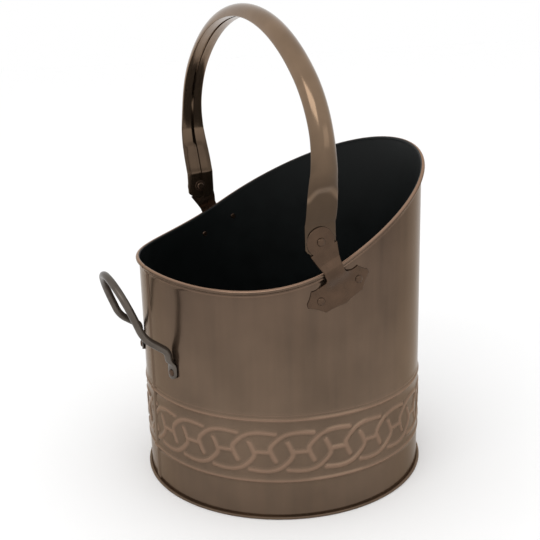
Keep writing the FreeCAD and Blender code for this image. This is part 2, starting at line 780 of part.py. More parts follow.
across = Vector(0, grip_half, 0)
loop = Part.Arc(loop_start - across, loop_top, loop_start + across).toShape()
bar_route = doc.addObject("Part::Feature", "grip_route")
bar_route.Shape = Part.Wire(Part.__sortEdges__(leg(-1) + [loop] + leg(1)))
GRIP_SIDES = 8
bar_section = doc.addObject("Part::RegularPolygon", "grip_section")
bar_section.Polygon = GRIP_SIDES
bar_section.setExpression("Circumradius", "sizes.grip_rod_radius * 1 mm")
section_turn = math.degrees(foot_turn) + 180 / GRIP_SIDES
bar_section.Placement = Placement(foot_end - across, Rotation(Vector(0, 0, 1), section_turn))
bar = doc.addObject("Part::Sweep", "grip_bar")
bar.Sections = [bar_section]
bar.Spine = (bar_route, ["Edge%d" % (i + 1) for i in range(len(bar_route.Shape.Edges))])
bar.Solid = True
bar.Frenet = False
doc.recompute()

feet = []
foot_face = wall_radius + size("rivet_seat")
foot_half = size("foot_half_width")
foot_gauge = size("foot_gauge")
for name, hand in (("right", -1), ("left", 1)):
    angle = math.pi - hand * foot_turn
    out = Vector(math.cos(angle), math.sin(angle), 0)
    turn = Rotation(Vector(0, 0, 1), math.degrees(angle))
    plate = new_body("grip_foot_" + name)
    face = new_sketch(plate, "YZ_Plane", "grip_foot_face_" + name)
    low = size("foot_rivet_height")
    high = low + size("foot_flat_rise")
    face.addGeometry(Part.LineSegment(Vector(-foot_half, high), Vector(-foot_half, low)))
    face.addGeometry(Part.Arc(Vector(-foot_half, low), Vector(0, low - foot_half), Vector(foot_half, low)))
    face.addGeometry(Part.LineSegment(Vector(foot_half, low), Vector(foot_half, high)))
    face.addGeometry(Part.LineSegment(Vector(foot_half, high), Vector(-foot_half, high)))
    slab = plate.newObject("PartDesign::Pad", "grip_foot_slab_" + name)
    slab.Profile = face
    slab.setExpression("Length", "sizes.foot_gauge * 1 mm")
    plate.Placement = Placement(out * foot_face, turn)
    # the bar is hammered out from round to flat between its straight end and the slab
    face_turn = Rotation(Vector(0, 0, 1), math.degrees(angle) - 90)
    round_corners = many_sided(GRIP_SIDES, size("grip_rod_radius"))
    flat_corners = pressed_flat(round_corners, foot_half, foot_gauge / 2)
    round_place = Placement(foot_end + Vector(0, hand * grip_half, 0), face_turn)
    flat_place = Placement(out * (foot_face + foot_gauge / 2) + Vector(0, 0, high), face_turn)
    ends = []
    for place, corners in ((flat_place, flat_corners), (round_place, round_corners)):
        spots = [place.multVec(c) for c in corners]
        ends.append(Part.makePolygon(spots + spots[:1]))
    hammered = doc.addObject("Part::Feature", "grip_hammered_" + name)
    hammered.Shape = Part.makeLoft(ends, True, True)
    feet += [plate, hammered]
grip_whole = doc.addObject("Part::MultiFuse", "grip_whole")
grip_whole.Shapes = [bar] + feet
grip_holes = doc.addObject("Part::MultiFuse", "grip_holes")
grip_holes.Shapes = [h for h in holes if h.Name.startswith("grip_rivet")]
rear_handle = doc.addObject("Part::Cut", "rear_handle")
rear_handle.Base = grip_whole
rear_handle.Tool = grip_holes
pieces.append(rear_handle)

# The wall is bored for its rivets.
all_holes = doc.addObject("Part::MultiFuse", "rivet_holes")
all_holes.Shapes = holes
body_shell = doc.addObject("Part::Cut", "body_shell")
body_shell.Base = body
body_shell.Tool = all_holes
pieces.append(body_shell)

doc.recompute()
for item in doc.Objects:
    if "Invalid" in item.State or "Error" in item.State:
        raise RuntimeError(item.Name + " failed: " + ", ".join(item.State))
os.makedirs("parts", exist_ok=True)
for piece in pieces:
    shape = piece.Shape
    if shape.isNull() or not shape.isValid() or len(shape.Solids) != 1:
        raise RuntimeError(piece.Label + " is not one sound solid: %d" % len(shape.Solids))
for piece in pieces:
    piece.Shape.Solids[0].exportStep("parts/%s.step" % piece.Label)
    box = piece.Shape.BoundBox
    print("%-24s volume %10.1f  x %.1f %.1f  y %.1f %.1f  z %.1f %.1f" % (
        piece.Label, piece.Shape.Volume, box.XMin, box.XMax, box.YMin, box.YMax, box.ZMin, box.ZMax))
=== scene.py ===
import math

import bmesh
import bpy
from mathutils import Matrix, Vector, kdtree


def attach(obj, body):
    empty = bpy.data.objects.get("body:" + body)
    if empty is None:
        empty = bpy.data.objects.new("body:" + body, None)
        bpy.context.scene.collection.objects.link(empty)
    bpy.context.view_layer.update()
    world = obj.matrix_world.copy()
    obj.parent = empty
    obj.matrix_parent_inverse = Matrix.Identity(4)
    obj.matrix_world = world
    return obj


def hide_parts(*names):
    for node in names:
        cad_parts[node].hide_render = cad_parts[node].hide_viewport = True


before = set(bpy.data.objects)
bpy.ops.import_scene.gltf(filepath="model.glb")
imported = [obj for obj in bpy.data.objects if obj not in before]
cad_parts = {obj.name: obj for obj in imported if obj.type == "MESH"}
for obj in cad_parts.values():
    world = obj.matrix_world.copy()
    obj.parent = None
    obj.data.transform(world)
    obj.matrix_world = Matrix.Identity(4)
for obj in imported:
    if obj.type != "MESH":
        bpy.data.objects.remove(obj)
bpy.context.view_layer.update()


# The wall is one thin steel sheet rolled to a drum and locked in a folded seam at the back.
# Two beads and a plaited band are pressed out of it, and its mouth is cut in a sweep that
# climbs to the pouring lip. Outside it is lacquered antique copper, inside satin black.
MM = 0.001
HAIR = 0.01 * MM
WALL_RADIUS = 150.0 * MM
SHEET = 0.8 * MM
LIP_HEIGHT = 342.7 * MM
LIP_REACH = 151.83 * MM
MOUTH_SLOPE = math.radians(27.5)
DIP_RADIUS = 230.0 * MM
BEND_X = -3.0 * MM
BEND_Z = LIP_HEIGHT - (LIP_REACH - BEND_X) * math.tan(MOUTH_SLOPE)
DIP_X = BEND_X - DIP_RADIUS * math.sin(MOUTH_SLOPE)
DIP_Z = BEND_Z + DIP_RADIUS * math.cos(MOUTH_SLOPE)


def mouth_height(x):
    """Height of the rim: a straight rise to the lip, a hollow curve behind it."""
    if x >= BEND_X:
        return BEND_Z + (x - BEND_X) * math.tan(MOUTH_SLOPE)
    return DIP_Z - math.sqrt(DIP_RADIUS ** 2 - (x - DIP_X) ** 2)


def smooth_step(low, high, value):
    """Eases from 0 at low to 1 at high."""
    t = min(1.0, max(0.0, (value - low) / (high - low)))
    return t * t * (3 - 2 * t)


# The plait: a short bar, a long arm that swings over the next bar, and a stub that comes out
# from under the arm before, all in millimetres. Each unit is the same after half a turn.
BAND_MIDDLE, BAND_HALF = 73.0 * MM, 26.0 * MM
BAND_PITCH = math.radians(14.58)
BAND_PHASE = math.radians(-94.56)
STRAND_HALF, STRAND_HEIGHT, STRAND_FLAT = 3.5 * MM, 1.25 * MM, 0.3
SPOT_GAP = 0.4
BAR = [(-8.7, 0.0), (8.7, 0.0)]
ARM = [(8.3, 0.6), (7.6, 3.4), (9.4, 7.3), (13.7, 11.9), (19.2, 16.6), (25.7, 19.5), (34.5, 20.9),
       (43.2, 20.4), (50.8, 19.4)]
STUB = [(-8.7, 0.3), (-10.3, 5.0), (-13.1, 9.9)]


def strand_spots(points):
    """Points close together along a strand of the plait, in millimetres."""
    curve = bpy.data.curves.new("strand", "CURVE")
    spline = curve.splines.new("NURBS")
    spline.points.add(len(points) - 1)
    for point, (u, v) in zip(spline.points, points):
        point.co = (u, v, 0, 1)
    spline.use_endpoint_u = True
    spline.order_u = 3
    spline.resolution_u = 12
    holder = bpy.data.objects.new("strand", curve)
    line = bpy.data.meshes.new_from_object(holder)
    spots = [v.co.xy for v in line.vertices]
    bpy.data.meshes.remove(line)
    bpy.data.objects.remove(holder)
    bpy.data.curves.remove(curve)
    close = []
    for start, end in zip(spots, spots[1:]):
        steps = max(1, round((end - start).length / SPOT_GAP))
        close += [start.lerp(end, i / steps) for i in range(steps)]
    return close + [spots[-1]]


unit_spots = []
for strand in (BAR, ARM, STUB):
    for spot in strand_spots(strand):
        unit_spots += [spot * MM, spot * -MM]
first_unit = math.ceil((-math.pi - BAND_PHASE) / BAND_PITCH) - 2
last_unit = math.floor((math.pi - BAND_PHASE) / BAND_PITCH) + 2
band_map = kdtree.KDTree(len(unit_spots) * (last_unit - first_unit + 1))
count = 0
for unit in range(first_unit, last_unit + 1):
    middle = (BAND_PHASE + unit * BAND_PITCH) * WALL_RADIUS
    for spot in unit_spots:
        band_map.insert((middle + spot.x, spot.y, 0), count)
        count += 1
band_map.balance()

SEAM_HALF, SEAM_HEIGHT = 4.0 * MM, 1.1 * MM
SEAM_TOP, SEAM_FOOT = SEAM_HALF - 0.6 * MM, SEAM_HALF + 0.5 * MM
PLAIT_ENDS, PLAIT_FULL = 5.0 * MM, 7.0 * MM


def beside_seam(angle):
    """Distance round the wall from the middle of the seam."""
    return WALL_RADIUS * (math.pi - abs(angle))


def plait_relief(angle, z):
    """How far the band stands out, from 0 to 1; it dies away beside the seam."""
    away = band_map.find((angle * WALL_RADIUS, z - BAND_MIDDLE, 0))[2]
    if away >= STRAND_HALF:
        return 0.0
    rounded_top = 1 - smooth_step(STRAND_FLAT, 1.0, away / STRAND_HALF)
    return rounded_top * smooth_step(PLAIT_ENDS, PLAIT_FULL, beside_seam(angle))


FOOT, PLAIN_FROM, RIM_ZONE = 1.6 * MM, 116.0 * MM, 8.0 * MM
LOWER_BEAD, UPPER_BEAD = 41.6 * MM, 107.0 * MM
BEAD_HALF, BEAD_HEIGHT, BEAD_SOFTNESS = 2.8 * MM, 1.2 * MM, 1.5
TOP_LINE, TOP_LINE_HALF, TOP_LINE_HEIGHT = 111.6 * MM, 1.3 * MM, 0.35 * MM
RIM_LINE, RIM_LINE_HALF, RIM_LINE_HEIGHT = LIP_HEIGHT - 4.4 * MM, 1.2 * MM, 0.5 * MM


def pressed_bead(z, middle, half, height):
    """Height of a round bead pressed out of the sheet, which runs softly into it."""
    away = abs(z - middle)
    return height * math.cos(away / half * math.pi / 2) ** BEAD_SOFTNESS if away < half else 0.0


def wall_out(z):
    """How far the plain wall stands out: two beads, a fine line above them and one under the rim."""
    return (pressed_bead(z, LOWER_BEAD, BEAD_HALF, BEAD_HEIGHT)
            + pressed_bead(z, UPPER_BEAD, BEAD_HALF, BEAD_HEIGHT)
            + pressed_bead(z, TOP_LINE, TOP_LINE_HALF, TOP_LINE_HEIGHT)
            + pressed_bead(z, RIM_LINE, RIM_LINE_HALF, RIM_LINE_HEIGHT))


# Heights of the rows of the sheet, up the outside and down the inside, close where it is pressed.
BAND_ROW, BAND_ROWS = 1.05 * MM, 24
LOW_ROWS = [12 * MM, 24 * MM, 36 * MM]
PLAIN_ROWS = [170 * MM, 225 * MM, 280 * MM]
outer_heights = [FOOT] + LOW_ROWS
outer_heights += [LOWER_BEAD + i * BEAD_HALF / 4 for i in range(-4, 5)]
outer_heights += [BAND_MIDDLE + i * BAND_ROW for i in range(-BAND_ROWS, BAND_ROWS + 1)]
outer_heights += [UPPER_BEAD + i * BEAD_HALF / 4 for i in range(-4, 5)]
outer_heights += [TOP_LINE + i * TOP_LINE_HALF / 2 for i in range(-1, 3)]
outer_heights += [PLAIN_FROM] + PLAIN_ROWS + [LIP_HEIGHT - RIM_ZONE]
outer_heights += [RIM_LINE + i * RIM_LINE_HALF / 2 for i in range(-2, 3)] + [LIP_HEIGHT]
inner_heights = [LIP_HEIGHT, PLAIN_ROWS[1], PLAIN_FROM]
inner_heights += [UPPER_BEAD - i * BEAD_HALF / 2 for i in range(-2, 3)]
inner_heights += [LOWER_BEAD - i * BEAD_HALF / 2 for i in range(-2, 3)] + [FOOT]

WALL_STEPS = 900
wall = bmesh.new()
section = [wall.verts.new((WALL_RADIUS + wall_out(z), 0, z)) for z in outer_heights]
section += [wall.verts.new((WALL_RADIUS - SHEET + wall_out(z), 0, z)) for z in inner_heights]
section_edges = [wall.edges.new(pair) for pair in zip(section, section[1:] + section[:1])]
bmesh.ops.spin(wall, geom=section + section_edges, axis=(0, 0, 1), cent=(0, 0, 0), angle=2 * math.pi,
               steps=WALL_STEPS, use_merge=True)
wear_and_highlight = wall.verts.layers.float.new("wear_and_highlight")
for v in wall.verts:
    x, y, z = v.co
    out = v.co.xy.length
    angle = math.atan2(y, x)
    if out > WALL_RADIUS - SHEET / 2 + wall_out(z):
        plait = plait_relief(angle, z) if abs(z - BAND_MIDDLE) < BAND_HALF else 0.0
        # Lighter where the sheet stands out: real wear on the plait, a painted highlight on the beads and
        # fine lines.
        v[wear_and_highlight] = max(plait, wall_out(z) / BEAD_HEIGHT)
        strip = SEAM_HEIGHT * (1 - smooth_step(SEAM_TOP, SEAM_FOOT, beside_seam(angle)))
        out += max(plait * STRAND_HEIGHT, strip)
    if z > LIP_HEIGHT - RIM_ZONE - HAIR:
        z = mouth_height(x) - (LIP_HEIGHT - z)
    elif z > PLAIN_FROM:
        share = (z - PLAIN_FROM) / (LIP_HEIGHT - RIM_ZONE - PLAIN_FROM)
        z = PLAIN_FROM + share * (mouth_height(x) - RIM_ZONE - PLAIN_FROM)
    v.co = (out * math.cos(angle), out * math.sin(angle), z)
bmesh.ops.recalc_face_normals(wall, faces=wall.faces)


def piece(name, bm, body, materials, node, sharp=40):
    """Makes a finished mesh a shown piece that rides on a body and stands for its solid."""
    mesh = bpy.data.meshes.new(name)
    bm.to_mesh(mesh)
    bm.free()
    for material in materials:
        mesh.materials.append(material)
    mesh.shade_smooth()
    mesh.set_sharp_from_angle(angle=math.radians(sharp))
    made = bpy.data.objects.new(name, mesh)
    bpy.context.scene.collection.objects.link(made)
    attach(made, body)
    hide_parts(node)


def srgb(text):
    """A colour written as RRGGBB, in linear light."""
    values = [int(text[i:i + 2], 16) / 255 for i in (0, 2, 4)]
    return tuple(v / 12.92 if v <= 0.04045 else ((v + 0.055) / 1.055) ** 2.4 for v in values) + (1.0,)


def add(tree, kind, inputs=None, **settings):
    """Adds a node with its settings; an input is a value or the socket that feeds it."""
    made = tree.nodes.new(kind)
    for name, value in settings.items():
        setattr(made, name, value)
    for name, value in (inputs or {}).items():
        if isinstance(value, bpy.types.NodeSocket):
            tree.links.new(value, made.inputs[name])
        else:
            made.inputs[name].default_value = value
    return made


def new_material(name):
    """An empty material: itself, its tree and its shader."""
    made = bpy.data.materials.new(name)
    made.use_nodes = True
    return made, made.node_tree, made.node_tree.nodes["Principled BSDF"]


# Antique copper lacquer on steel: a brown metal sheen, cloudy and faintly streaked down the sheet
# where it was brushed on. Painted shade darkens it towards the mouth and painted light lifts it low
# down. It is lighter pink where the sheet stands out: worn on the plait, a painted highlight on the beads.
copper, tree, shader = new_material("antique_copper_lacquer")
place = add(tree, "ShaderNodeTexCoord").outputs["Object"]
clouds = add(tree, "ShaderNodeTexNoise", {"Vector": place, "Scale": 1 / (60 * MM), "Detail": 3.0})
stretch = add(tree, "ShaderNodeMapping", {"Vector": place, "Scale": (1.0, 1.0, 0.06)})
streaks = add(tree, "ShaderNodeTexNoise",
              {"Vector": stretch.outputs[0], "Scale": 1 / (9 * MM), "Detail": 4.0})
height = add(tree, "ShaderNodeSeparateXYZ", {0: place}).outputs["Z"]
# Painted shade: the wall darkens with height towards the mouth and is painted lighter low down.
painted_shade_up_wall = add(tree, "ShaderNodeMapRange", {"Value": height, "From Min": 90 * MM, "From Max": 290 * MM},
             interpolation_type="SMOOTHSTEP")
low = add(tree, "ShaderNodeMix", {0: clouds.outputs[0], 6: srgb("4a3f35"), 7: srgb("6f5e4f")},
          data_type="RGBA")
high = add(tree, "ShaderNodeMix", {0: clouds.outputs[0], 6: srgb("372d26"), 7: srgb("58493e")},
           data_type="RGBA")
base = add(tree, "ShaderNodeMix", {0: painted_shade_up_wall.outputs[0], 6: low.outputs[2], 7: high.outputs[2]},
           data_type="RGBA")
faint = add(tree, "ShaderNodeMath", {0: streaks.outputs[0], 1: 0.25}, operation="MULTIPLY")
brushed = add(tree, "ShaderNodeMix", {0: faint.outputs[0], 6: base.outputs[2], 7: srgb("8a705c")},
              data_type="RGBA")
# Wear on the plait and painted highlight on the beads and rim top, mixed in as a lighter pink.
raised = add(tree, "ShaderNodeAttribute", attribute_name="wear_and_highlight")
wear_and_highlight_share = add(tree, "ShaderNodeMath", {0: raised.outputs["Fac"], 1: 0.42}, operation="MULTIPLY")
wear_and_highlight_tone = add(tree, "ShaderNodeMix", {0: wear_and_highlight_share.outputs[0], 6: brushed.outputs[2], 7: srgb("9c7e6a")},
             data_type="RGBA")
tree.links.new(wear_and_highlight_tone.outputs[2], shader.inputs["Base Color"])
gloss = add(tree, "ShaderNodeMapRange", {"Value": streaks.outputs[0], "To Min": 0.15, "To Max": 0.26})
tree.links.new(gloss.outputs[0], shader.inputs["Roughness"])
shader.inputs["Metallic"].default_value = 0.85
shader.inputs["Specular Tint"].default_value = srgb("d8ccc0")

# Satin black stove paint: a dull, faintly green black with a soft mottled gloss.
black, tree, shader = new_material("satin_black_paint")
place = add(tree, "ShaderNodeTexCoord").outputs["Object"]
mottle = add(tree, "ShaderNodeTexNoise", {"Vector": place, "Scale": 1 / (25 * MM), "Detail": 4.0})
tone = add(tree, "ShaderNodeMix", {0: mottle.outputs[0], 6: srgb("050707"), 7: srgb("0e1212")},
           data_type="RGBA")
tree.links.new(tone.outputs[2], shader.inputs["Base Color"])
dull = add(tree, "ShaderNodeMapRange", {"Value": mottle.outputs[0], "To Min": 0.42, "To Max": 0.58})
tree.links.new(dull.outputs[0], shader.inputs["Roughness"])
shader.inputs["Specular IOR Level"].default_value = 0.2


def paint_inside(bm, turned_in):
    """Gives the second material to faces that turn in towards the axis by more than a share."""
    for face in bm.faces:
        middle = face.calc_center_median()
        outward = Vector((middle.x, middle.y, 0)).normalized()
        face.material_index = 1 if face.normal.dot(outward) < -turned_in else 0


paint_inside(wall, 0.0)
piece("wall", wall, "bucket", [copper, black], "body_shell", 60)


# The rim is a bead of rolled sheet that hides the wall's cut edge and stiffens the mouth.
# It runs all round and its two ends meet over the seam. Its top carries a painted highlight.
ROLL_RING, ROLL_RADIUS, ROLL_STEPS = 151.3 * MM, 2.2 * MM, 480
ROLL_HIGHLIGHT, ROLL_HIGHLIGHT_FROM, ROLL_INSIDE = 2.0, 0.2, 0.3
BUTT_DEPTH, BUTT_FROM, BUTT_TO = 0.35, 0.5 * MM, 1.2 * MM
rim = bmesh.new()
wear_and_highlight = rim.verts.layers.float.new("wear_and_highlight")
ring = bmesh.ops.create_circle(
    rim, radius=ROLL_RADIUS, segments=16,
    matrix=Matrix.Translation((ROLL_RING, 0, 0)) @ Matrix.Rotation(math.pi / 2, 4, "X"))["verts"]
# A painted highlight along the top of the roll, where it faces up.
for v in ring:
    v[wear_and_highlight] = ROLL_HIGHLIGHT * smooth_step(ROLL_HIGHLIGHT_FROM, 1.0, v.co.z / ROLL_RADIUS)
ring_edges = list({e for v in ring for e in v.link_edges})
bmesh.ops.spin(rim, geom=ring + ring_edges, axis=(0, 0, 1), cent=(0, 0, 0), angle=2 * math.pi,
               steps=ROLL_STEPS, use_merge=True)
for v in rim.verts:
    angle = math.atan2(v.co.y, v.co.x)
    butt = 1 - BUTT_DEPTH * (1 - smooth_step(BUTT_FROM, BUTT_TO, beside_seam(angle)))
    out = ROLL_RING + (v.co.xy.length - ROLL_RING) * butt
    z = v.co.z * butt + mouth_height(ROLL_RING * math.cos(angle))
    v.co = (out * math.cos(angle), out * math.sin(angle), z)
bmesh.ops.recalc_face_normals(rim, faces=rim.faces)
paint_inside(rim, ROLL_INSIDE)
piece("rim", rim, "bucket", [copper, black], "rim_bead")


# The base is a flat steel disc. Its edge is folded up and over the wall's flange and rolled
# tight, which leaves a round lip all round the foot. Its section is in millimetres.
BASE_SECTION = [(0, 0.8), (149.2, 0.8), (149.2, 2.4), (150.2, 3.2), (151.8, 3.3), (152.8, 2.9),
                (153.25, 1.9), (153.2, 0.9), (152.6, 0.25), (151.6, 0.0), (0, 0.0)]
BASE_STEPS, BASE_INSIDE = 360, 149.5 * MM


def turned(profile, steps, merge=0.005 * MM):
    """A mesh turned once round Z from a profile of (radius, height) in millimetres."""
    bm = bmesh.new()
    section = [bm.verts.new((r * MM, 0, z * MM)) for r, z in profile]
    edges = [bm.edges.new(pair) for pair in zip(section, section[1:])]
    bmesh.ops.spin(bm, geom=section + edges, axis=(0, 0, 1), cent=(0, 0, 0), angle=2 * math.pi,
                   steps=steps, use_merge=True)
    bmesh.ops.remove_doubles(bm, verts=bm.verts, dist=merge)
    bmesh.ops.recalc_face_normals(bm, faces=bm.faces)
    return bm


pan = turned(BASE_SECTION, BASE_STEPS, HAIR)
for face in pan.faces:
    inside = face.calc_center_median().xy.length < BASE_INSIDE and face.normal.z > 0
    face.material_index = 1 if inside else 0
piece("base", pan, "bucket", [copper, black], "base_pan")


# The lugs are stamped from thicker sheet, bent out over the rim and back in to a round ear.
# Their lower halves are rolled to the wall and riveted through it.
LUG_PLACE, LUG_HEIGHT, LUG_TILT = -9.1 * MM, 234.705 * MM, math.radians(23.2)
LUG_GAUGE, LUG_ROUND, LUG_GAP = 1.5 * MM, 0.9 * MM, 0.05 * MM
LUG_REACH, EAR_RADIUS, EAR_FOOT, EAR_STEPS = 54.7 * MM, 14.3 * MM, 47.2, 20
OVER_RIM, EAR_FACE = 154.6 * MM, 152.0 * MM
RAMP_LOW, RAMP_HIGH, FOLD_LOW, FOLD_HIGH = 3.0 * MM, 20.0 * MM, 25.5 * MM, 34.0 * MM
NECK_IN, NECK_OUT, NECK_FOOT = 9.0 * MM, 20.0 * MM, 14.5 * MM
LUG_ROW, LUG_COLUMN = 1.7 * MM, 4.0 * MM
SHARP_EDGE = math.radians(60)
SIDES = (("right", -1), ("left", 1))

# Half of the stamped outline from the foot's middle point to the ear, in millimetres along the
# rivet line, up from it, and bowed out (or hollow) on the way to the next point.
HALF_OUTLINE = [(0.0, -14.8, -0.9), (21.2, -12.8, -0.9), (34.4, -1.2, 0.5), (33.6, 3.6, -0.5),
                (25.6, 12.9, -1.3), (14.2, 14.3, -1.4), (10.3, 20.5, 0.0), (10.3, 27.0, 0.0),
                (15.1, EAR_FOOT, 0.0)]


def bowed(start, end, rise, steps=8):
    """Points of a shallow arc that stands out to the right of its chord; the end is left out."""
    chord = end - start
    side = Vector((chord.y, -chord.x)).normalized()
    shares = [i / steps for i in range(steps)]
    return [start + chord * share + side * (4 * rise * share * (1 - share)) for share in shares]


corners = [(Vector((along, up)) * MM, bow * MM) for along, up, bow in HALF_OUTLINE]
half = [p for (start, bow), (end, _) in zip(corners, corners[1:]) for p in bowed(start, end, bow)]
half.append(corners[-1][0])
ear_low = math.asin((EAR_FOOT * MM - LUG_REACH) / EAR_RADIUS)
for i in range(EAR_STEPS + 1):
    turn = ear_low + (math.pi / 2 - ear_low) * i / EAR_STEPS
    half.append(Vector((EAR_RADIUS * math.cos(turn), LUG_REACH + EAR_RADIUS * math.sin(turn))))
outline = half + [Vector((-p.x, p.y)) for p in half[-2:0:-1]]

# Antique copper lacquer on the small fittings: the wall's brown, darker, with a finer cloud.
fittings, tree, shader = new_material("antique_copper_fittings")
place = add(tree, "ShaderNodeTexCoord").outputs["Object"]
clouds = add(tree, "ShaderNodeTexNoise", {"Vector": place, "Scale": 1 / (14 * MM), "Detail": 4.0})
tone = add(tree, "ShaderNodeMix", {0: clouds.outputs[0], 6: srgb("3b2e24"), 7: srgb("5a4637")},
           data_type="RGBA")
tree.links.new(tone.outputs[2], shader.inputs["Base Color"])
gloss = add(tree, "ShaderNodeMapRange", {"Value": clouds.outputs[0], "To Min": 0.2, "To Max": 0.34})
tree.links.new(gloss.outputs[0], shader.inputs["Roughness"])
shader.inputs["Metallic"].default_value = 0.85

for side, hand in SIDES:
    lug = bmesh.new()
    lug.faces.new([lug.verts.new((p.x, p.y, 0)) for p in outline])
    grown = bmesh.ops.extrude_face_region(lug, geom=lug.faces[:])["geom"]
    outer_verts = [g for g in grown if isinstance(g, bmesh.types.BMVert)]
    bmesh.ops.translate(lug, verts=outer_verts, vec=(0, 0, LUG_GAUGE))
    bmesh.ops.recalc_face_normals(lug, faces=lug.faces)
    outer_edges = [e for e in lug.edges
                   if e.calc_face_angle(0) > SHARP_EDGE and all(v.co.z > LUG_GAUGE / 2 for v in e.verts)]
    bmesh.ops.bevel(lug, geom=outer_edges, offset=LUG_ROUND, offset_type="OFFSET", segments=4,
                    profile=0.5, affect="EDGES", material=-1, clamp_overlap=True)
    cuts = [((0, FOLD_LOW + i * LUG_ROW, 0), (0, 1, 0)) for i in range(-22, 25)]
    cuts += [((i * LUG_COLUMN, 0, 0), (1, 0, 0)) for i in range(-8, 9)]
    for spot, across_cut in cuts:
        bmesh.ops.bisect_plane(lug, geom=lug.verts[:] + lug.edges[:] + lug.faces[:], dist=0.001 * MM,
                               plane_co=spot, plane_no=across_cut)
    for v in lug.verts:
        along, up, thick = v.co
        x = LUG_PLACE + along * math.cos(LUG_TILT) - up * math.sin(LUG_TILT)
        z = LUG_HEIGHT + along * math.sin(LUG_TILT) + up * math.cos(LUG_TILT)
        on_wall = math.sqrt((WALL_RADIUS + LUG_GAP + thick) ** 2 - x * x)
        back = min(1.0, max(0.0, (up - FOLD_LOW) / (FOLD_HIGH - FOLD_LOW)))
        bent = OVER_RIM + (EAR_FACE - OVER_RIM) * back + thick
        shoulder = smooth_step(NECK_IN, NECK_OUT, abs(along)) * (1 - smooth_step(NECK_FOOT, RAMP_HIGH, up))
        lift = smooth_step(RAMP_LOW, RAMP_HIGH, up) * (1 - shoulder)
        v.co = (x, hand * (on_wall + (bent - on_wall) * lift), z)
    bmesh.ops.recalc_face_normals(lug, faces=lug.faces)
    piece("lug_" + side, lug, "bucket", [fittings], "bail_lug_" + side, 30)


# The lugs' rivets are soft steel in the same lacquer, two to each lug. They are set with a round
# snap, which leaves domed heads outside, and clenched flat inside the wall.
LUG_RIVET = 21.1 * MM
RIVET_STEPS, DOME_STEPS, DOME_FULLNESS = 28, 10, 0.6
CLENCH, CLENCH_TAPER = 0.8, 0.8


def snap_rivet(head, height, shank, tail, grip):
    """Profile of a rivet, in millimetres: a domed head above Z = 0, a clenched end a grip below."""
    quarter = [i * math.pi / (2 * DOME_STEPS) for i in range(DOME_STEPS, -1, -1)]
    dome = [(head * math.cos(t) ** DOME_FULLNESS, height * math.sin(t)) for t in quarter]
    end = [(tail, -grip), (tail * CLENCH_TAPER, -grip - CLENCH), (0, -grip - CLENCH)]
    return dome + [(head, 0), (shank, 0), (shank, -grip)] + end


def set_rivet(name, node, profile, seat, out):
    """Turns a rivet from its profile and sets it in a seat with its head pointing out."""
    rivet = turned(profile, RIVET_STEPS)
    turn = out.to_track_quat("Z", "Y").to_matrix().to_4x4()
    bmesh.ops.transform(rivet, verts=rivet.verts, matrix=Matrix.Translation(seat) @ turn)
    piece(name, rivet, "bucket", [fittings], node)


for side, hand in SIDES:
    for end_name, along in (("rear", -LUG_RIVET), ("front", LUG_RIVET)):
        x = LUG_PLACE + along * math.cos(LUG_TILT)
        z = LUG_HEIGHT + along * math.sin(LUG_TILT)
        out = Vector((x, hand * math.sqrt(WALL_RADIUS ** 2 - x * x), 0)).normalized()
        seat = out * (WALL_RADIUS + LUG_GAUGE) + Vector((0, 0, z))
        node = "lug_rivet_%s_%s" % (side, end_name)
        profile = snap_rivet(head=3.9, height=1.8, shank=2.0, tail=3.0, grip=2.35)
        set_rivet(node + "_head", node, profile, seat, out)


# The hoop handle is a strip bent to a hollow half round, its edges turned in along the inside
# with a slit between them, and curved to an arch of three arcs. Each end is pressed flat and
# hangs on its pivot inside the ear.
PIVOT = Vector((LUG_PLACE - LUG_REACH * math.sin(LUG_TILT), 0,
                LUG_HEIGHT + LUG_REACH * math.cos(LUG_TILT)))
HOOP_HALF, HOOP_SPRING, HOOP_LEAN = 162.2 * MM, 68.0 * MM, math.radians(-0.8)
SHOULDER, CROWN, ARC_STEPS, LEG_STEPS = 108.0 * MM, 185.8 * MM, 28, 48
HALF_ROUND, HOOP_SIDE, HOOP_GAUGE, SLIT_HALF = 11.5 * MM, 0.6 * MM, 1.2 * MM, 1.5 * MM
SKIN_EDGE, SKIN_STEPS, LINING_EDGE, LINING_STEPS = 1.0 * MM, 32, 0.3 * MM, 20
TAB_HALF, TAB_GAUGE, TAB_DROP, TAB_MIDDLE = 16.0 * MM, 3.0 * MM, 14.0 * MM, 150.3 * MM
crown_lean = math.asin((HOOP_HALF - SHOULDER) / (CROWN - SHOULDER))
crown_low = HOOP_SPRING - (CROWN - SHOULDER) * math.cos(crown_lean)
hoop_top = crown_low + CROWN
shoulder_y = SHOULDER - HOOP_HALF


def half_round(radius, foot, edge, steps):
    """Across and out of a half round from one side of the slit over the top to the other."""
    turned_in = [(SLIT_HALF, foot), (radius * 0.5, foot), (radius - edge, foot),
                 (radius - edge * 0.3, foot + edge * 0.3)]
    turns = [math.pi * i / steps for i in range(steps + 1)]
    dome = [(radius * math.cos(turn), radius * math.sin(turn)) for turn in turns]
    return turned_in + dome + [(-across, out) for across, out in turned_in[::-1]]


def carry_on(bm, geom, step, times):
    """Draws the end ring of a tube or bar straight on in equal steps."""
    edges = [g for g in geom if isinstance(g, bmesh.types.BMEdge)]
    for _ in range(times):
        grown = bmesh.ops.extrude_edge_only(bm, edges=edges)["geom"]
        fresh = [g for g in grown if isinstance(g, bmesh.types.BMVert)]
        bmesh.ops.translate(bm, verts=fresh, vec=step)
        edges = [g for g in grown if isinstance(g, bmesh.types.BMEdge) and all(v in fresh for v in g.verts)]
    return edges


